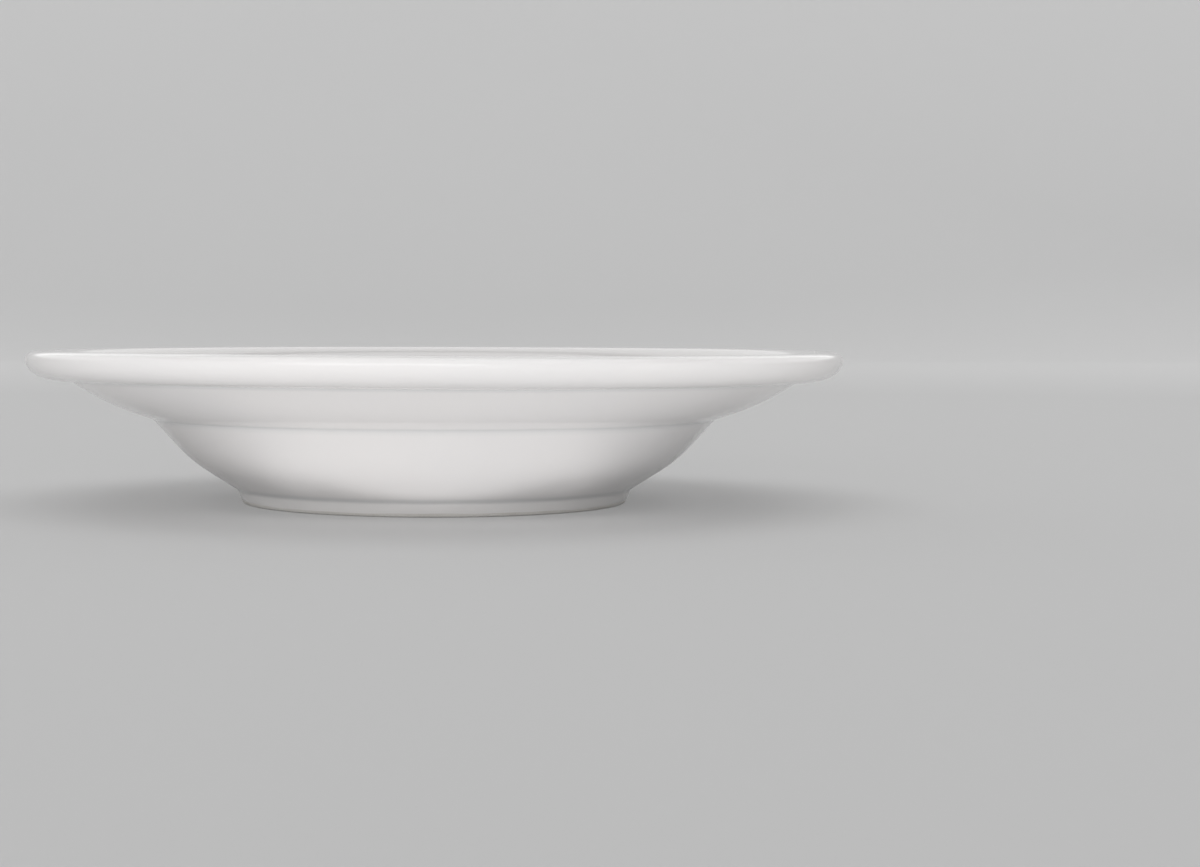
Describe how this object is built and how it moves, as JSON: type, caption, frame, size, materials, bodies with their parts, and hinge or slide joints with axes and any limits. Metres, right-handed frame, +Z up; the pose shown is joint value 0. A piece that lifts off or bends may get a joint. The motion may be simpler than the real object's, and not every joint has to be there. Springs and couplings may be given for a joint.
{
  "type": "rimmed soup plate",
  "caption": "Round white porcelain soup plate with a rolled edge, a wide dished rim, a deep round well and a bare-footed foot ring.",
  "frame": {"origin": "the middle of the foot ring, in the plane of the table that the plate stands on", "axes": "+Z up along the plate's axis; the plate is a body of revolution, so +X and +Y are any two level directions at a right angle"},
  "size_m": [0.23, 0.23, 0.043],
  "materials": {
    "bare_porcelain": "matte",
    "white_glaze": "gloss"
  },
  "bodies": {
    "root": {"porcelain_body": "bare_porcelain", "glaze_coat": "white_glaze", "recess_glaze": "white_glaze"}
  },
  "joints": []
}
